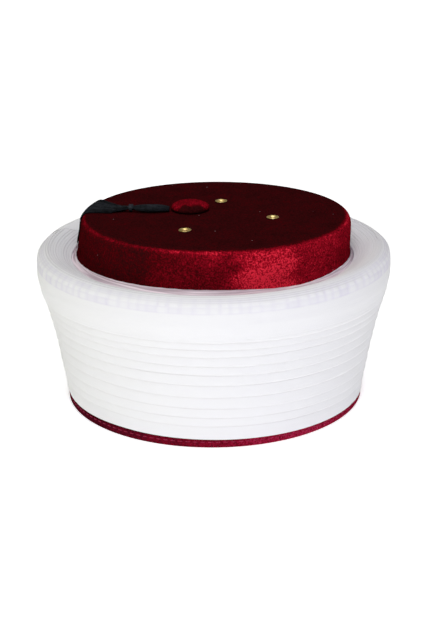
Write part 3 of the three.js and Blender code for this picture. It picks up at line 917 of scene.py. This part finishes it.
def tail():
    """The loose end: a smooth flap over the top of the turns, tucked into the groove beside the cap."""
    low = hem_z(CLOTH.last_turn)

    def side(z):
        swell = CLOTH.band_bulge * math.sin(math.pi / 2 * (z - low) / (HOOD.start_z - low))
        return face_of(CLOTH.last_turn, z) + swell - band_taper(z - low)

    reach = side(HOOD.start_z) - CLOTH.crest_r
    hooded = np.radians([20, 40, 55, HOOD.end_angle])
    inner_rim = CLOTH.lip_z - TAIL.lip_fade
    under = np.array([
        *((side(z), z) for z in np.linspace(low, HOOD.start_z, 5)),
        *zip(CLOTH.crest_r + reach * np.cos(hooded), HOOD.start_z + HOOD_RISE * np.sin(hooded)),
        *((r, top_height(r)) for r in np.linspace(CLOTH.crest_r, CLOTH.lip_r, 6)),
        *((face_of(SEAT, z), z) for z in (inner_rim, CLOTH.lip_z - TAIL.tuck)),
    ])
    under = curve_through(np.pad(under, ((0, 0), (0, 1)))[None], 4)[0, :, :2]
    along = np.gradient(under, axis=0)
    normal = np.stack([along[:, 1], -along[:, 0]], 1)
    normal /= np.linalg.norm(normal, axis=1, keepdims=True)
    climbing = under[:, 0] > CLOTH.crest_r
    over_side = smooth(HOOD.start_z, CLOTH.brow_z, under[:, 1])
    over_lip = smooth(inner_rim, CLOTH.lip_z, under[:, 1])
    on_top = np.where(climbing, over_side, over_lip)[:, None]
    # The rows lie closer together near both edges.
    near = np.array([0, 0.01, 0.02, 0.035, 0.05, 0.07, 0.09, 0.11])
    shares = np.concatenate([near, np.linspace(0.15, 0.85, 16), 1 - near[::-1]])
    mean_width = (TAIL.edge_at_brow + TAIL.edge_at_lip) / 2 - TAIL.far_edge
    rows = []
    for share in shares:
        inside = smooth(0, TAIL.press_fade, min(share, 1 - share) * mean_width)
        bottom = under + normal * (TAIL.clear - TAIL.press * inside * on_top)
        thickness = mix(TAIL.edge, TAIL.thickness, inside)
        section = np.concatenate([bottom + normal * thickness, bottom[::-1]])
        angle = mix(lead_edge(section[:, 0]), TAIL.far_edge, share)
        r = section[:, 0] + sway(angle, section[:, 1])
        rows.append(polar(r, np.radians(angle), section[:, 1]))
    columns = 2 * len(under)
    faces = quads(len(rows), columns, wrap_columns=True)
    for base in (0, (len(rows) - 1) * columns):
        for k in range(len(under) - 1):
            faces.append((base + k, base + k + 1, base + columns - 2 - k, base + columns - 1 - k))
    piece = add_piece("cloth_end", (np.concatenate(rows), faces), COTTON, "wound_cloth", sharp=70)
    for name in ("border", "ply_tone_and_shade"):
        store(piece, name, np.zeros(len(piece.data.vertices)))
    return piece


def gauze_collar():
    """Thin gauze that leans on the cap at its top and lines the groove down the inside of the cloth."""
    angle = np.linspace(0, 360, 2 * SIDES, endpoint=False)[:, None]
    a = np.radians(angle)
    half = COLLAR.gauze / 2
    from_tail = np.abs(angle - (TAIL.edge_at_lip + TAIL.far_edge) / 2)
    leans = smooth(0, COLLAR.upright_fade, np.maximum(from_tail - COLLAR.upright_within, 0))
    top = COLLAR.top + COLLAR.front_rise * np.clip(-np.sin(a), 0, 1) - COLLAR.side_drop * np.cos(a) ** 2
    top = top - COLLAR.dip * bell(angle, COLLAR.dip_at, COLLAR.dip_spread)
    share = np.linspace(0, 1, COLLAR.rows)[None, :]
    z = mix(top - half, COLLAR.bottom, share) + waves(a, COLLAR.waves) * (1 - share) ** 8
    upright = crown_radius(z) + GAP + half
    lined = face_of(SEAT, z) + groove(angle) * smooth(GROOVE.bottom, CLOTH.lip_z, z) - half - CLOTH.gap
    lower = smooth(top - COLLAR.lean_from, CLOTH.lip_z - COLLAR.lean_from, z)
    r = mix(upright, np.maximum(lined, upright), leans * lower)
    ends = half * np.sin(math.pi * np.clip(share + 0.04, 0, 1)) ** 0.3
    rings = np.concatenate([r - ends, (r + ends)[:, ::-1]], axis=1)
    heights = np.concatenate([z, z[:, ::-1]], axis=1)
    faces = quads(*rings.shape, wrap_rows=True, wrap_columns=True)
    form = (polar(rings, a, heights).reshape(-1, 3), faces)
    return add_piece("collar_gauze", form, GAUZE, "gauze_collar")


# The top's fittings


def button():
    """A padded velvet dome, drawn in by small pleats round its foot."""
    radius = BUTTON.radius
    edge = BUTTON.height / 4
    rises = np.radians(np.linspace(0, 90, 15))
    profile = [
        (0, 0),
        *((radius - inwards, z) for inwards, z in BUTTON.foot),
        *((radius * math.cos(t), mix(edge, BUTTON.height, math.sin(t))) for t in rises),
    ]
    points, faces = lathe(profile, BUTTON.sides, closed=False)
    turn = np.arctan2(points[:, 1], points[:, 0])
    near_foot = smooth(*BUTTON.pucker_from, np.hypot(points[:, 0], points[:, 1]) / radius)
    pleat = 0.5 + 0.5 * np.cos(BUTTON.pleats * turn + 1.2 * np.sin(3 * turn))
    pucker = 1 - BUTTON.pucker * near_foot * pleat
    points = points * np.stack([pucker, pucker, np.ones_like(pucker)], 1)
    place = (BUTTON.x, BUTTON.y, CROWN.height + GAP)
    form = (points + place, faces)
    piece = add_piece("velvet_button", form, VELVET, "crown_button", weld=True)
    x, y, z = (corners_of(piece) - place).T
    # Painted shade over the front, and painted light by height on the rest.
    back = y / radius + waves(x, BUTTON.line) - BUTTON.slant * x
    store(piece, "pile_sheen_and_shade", mix(BUTTON.flat_nap, look_up(BUTTON_SHEEN_AND_SHADE, z), smooth(*BUTTON.flat, back)))
    return piece


def eyelet(number, x, y):
    """A turned brass eyelet: a funnel with a rolled rim on the top, a barrel through it, a flare below."""
    under = -CROWN.wall - GAP
    flare_foot = under - EYELET.flare_wall
    rim = EYELET.flange - EYELET.roll
    funnel_top = (rim - 0.2, EYELET.rise - 0.05)
    funnel_foot = (EYELET.barrel + 0.3, EYELET.rise - 0.3)
    throat = (EYELET.bore, -0.2)
    profile = [
        (EYELET.bore, flare_foot),
        (EYELET.flare, flare_foot),
        (EYELET.flare, under),
        (EYELET.barrel, under),
        (EYELET.barrel, GAP),
        (EYELET.flange - 0.1, GAP),
        *arc(rim, EYELET.rise - EYELET.roll, EYELET.roll, 0, 120, 6),
        *line(funnel_top, funnel_foot, 3),
        throat,
    ]
    points, faces = lathe(profile, 56)
    form = (points + (x, y, CROWN.height), faces)
    add_piece(f"brass_eyelet_{number}", form, BRASS, f"eyelet_{number}")


# The tassel


def strand_stations(share, layer):
    """The places that each strand passes, from button to tip; layer runs from the velvet outwards."""
    spot = chance.uniform(0, 2 * math.pi, share.size)
    reach = np.sqrt(chance.uniform(0, 1, share.size))
    stations = []
    for x, y, lift, radius in BUNDLE[:-1]:
        off = radius * STRANDS.fill * reach
        height = CROWN.height + lift + off * np.sin(spot)
        stations.append(np.stack([x + 0 * spot, y + off * np.cos(spot), height], 1))
    waist = BUNDLE[-2, :2]
    leaves = np.radians(mix(*SKIRT.spread, share))
    azimuth = np.radians(mix(*SKIRT.edge_azimuth, share))

    def off_velvet(thickness):
        """How far the strands of each layer lie off the velvet where the skirt has a thickness."""
        return GAP + STRANDS.radius + layer * (thickness - 2 * STRANDS.radius)

    def over_edge(angle, thickness):
        away = CROWN.edge_radius + off_velvet(thickness)
        a = math.radians(angle)
        return polar(EDGE.r + away * math.cos(a), azimuth, EDGE.z + away * math.sin(a))

    bend = polar(SKIRT.bend_at, leaves, CROWN.height + off_velvet(SKIRT.bend)) + (*waist, 0)
    edge = over_edge(90, SKIRT.edge)
    middle = mix(bend, edge, 0.5)
    middle[:, 2] = CROWN.height + off_velvet(SKIRT.middle)
    stations += [bend, middle, edge]
    stations += [over_edge(angle, SKIRT.corner) for angle in (60, 30, 0)]
    tip = EDGE.z - SKIRT.hang + SKIRT.ragged * chance.uniform(-1, 0.6, share.size)
    stations.append(polar(crown_radius(tip) + off_velvet(SKIRT.tips), azimuth, tip))
    return np.stack(stations, 1)


def tassel():
    """The tassel's strands, which lie in streaks of a like shade: partly their own tone, partly painted
    highlights.
    """
    count = STRANDS.count
    share = (np.arange(count) + chance.uniform(0, 1, count)) / count
    share = np.clip(share + chance.normal(0, STRANDS.stray, count), -STRANDS.past, 1 + STRANDS.past)
    layer = chance.uniform(0, 1, count)
    paths = settled(curve_through(strand_stations(share, layer), 3))
    form = tubes(paths, STRANDS.radius, STRANDS.sides)
    piece = add_piece("tassel_strands", form, SILK, "tassel", sharp=120)
    points_each = paths.shape[1] * STRANDS.sides
    streaks = chance.uniform(0, 1, STRANDS.streaks) ** 2
    streak = np.interp(share, np.linspace(0, 1, STRANDS.streaks), streaks)
    shade = mix(chance.uniform(0, 1, count) ** 2, streak, STRANDS.streaky)
    store(piece, "shade", np.repeat(shade, points_each))


def tassel_tie():
    """Thread wound round the tassel's waist."""
    start, end = (np.array([x, y, CROWN.height + lift]) for x, y, lift, _ in BUNDLE[-3:-1])
    along = (end - start) / np.linalg.norm(end - start)
    across = np.cross((0, 0, 1), along)
    across /= np.linalg.norm(across)
    other = np.cross(along, across)
    wire = TIE.thickness / 2
    radius = BUNDLE[-2, 3] + GAP + wire
    rounds = TIE.half_length / wire - 1
    turn = np.linspace(0, 2 * math.pi * rounds, TIE.points)[:, None]
    run = np.linspace(wire - TIE.half_length, TIE.half_length - wire, TIE.points)[:, None]
    path = (start + end) / 2 + along * run + radius * (across * np.cos(turn) + other * np.sin(turn))
    form = tubes(path[None], wire, TIE.sides)
    piece = add_piece("tassel_tie", form, SILK, "tassel_binding")
    store(piece, "shade", np.full(len(piece.data.vertices), TIE.shade))
    settle(piece)


crown()
hem_binding()
stitches()
collar = gauze_collar()
turns = winding()
loose_end = tail()
pad = button()
for number, (x, y) in enumerate(EYELET_PLACES, 1):
    eyelet(number, x, y)
tassel()
tassel_tie()


# Floor, light and camera


def add_floor():
    mesh = bpy.data.meshes.new("floor")
    h = FLOOR_HALF
    mesh.from_pydata([(-h, -h, 0), (h, -h, 0), (h, h, 0), (-h, h, 0)], [], [(0, 1, 2, 3)])
    mesh.materials.append(paper("paper"))
    floor = bpy.data.objects.new("floor", mesh)
    scene.collection.objects.link(floor)


def add_lamp(name, place, power, colour):
    data = bpy.data.lights.new(name, "AREA")
    data.size = LAMP_SIZE
    data.energy = power
    data.color = colour
    lamp = bpy.data.objects.new(name, data)
    lamp.location = place
    lamp.rotation_euler = (Vector(LAMP_AIM) - Vector(place)).to_track_quat("-Z", "Y").to_euler()
    scene.collection.objects.link(lamp)


def add_world():
    world = bpy.data.worlds.new("studio")
    world.use_nodes = True
    sockets = world.node_tree.nodes["Background"].inputs
    sockets["Color"].default_value = (1, 1, 1, 1)
    sockets["Strength"].default_value = WORLD_STRENGTH
    scene.world = world


def add_camera():
    """The photograph's view, from a camera fitted to its outlines; the photograph leans a little."""
    distance, rise, aim, focal_px = 0.862, math.radians(19.864), 0.04894, 1328.6
    roll = math.radians(0.598)
    long_side, axis_px, middle_px = 631, 214.24, 210.5
    data = bpy.data.cameras.new("camera")
    data.sensor_width = 36
    data.lens = focal_px * data.sensor_width / long_side
    data.shift_x = (middle_px - axis_px) / long_side
    camera = bpy.data.objects.new("camera", data)
    place = Vector((0, -distance * math.cos(rise), aim + distance * math.sin(rise)))
    turn = (Vector((0, 0, aim)) - place).to_track_quat("-Z", "Y").to_matrix()
    camera.matrix_world = Matrix.Translation(place) @ (turn @ Matrix.Rotation(-roll, 3, "Z")).to_4x4()
    scene.collection.objects.link(camera)
    scene.camera = camera


add_floor()
for lamp in LAMPS:
    add_lamp(*lamp)
add_world()
scene.view_settings.view_transform = "Standard"
add_camera()
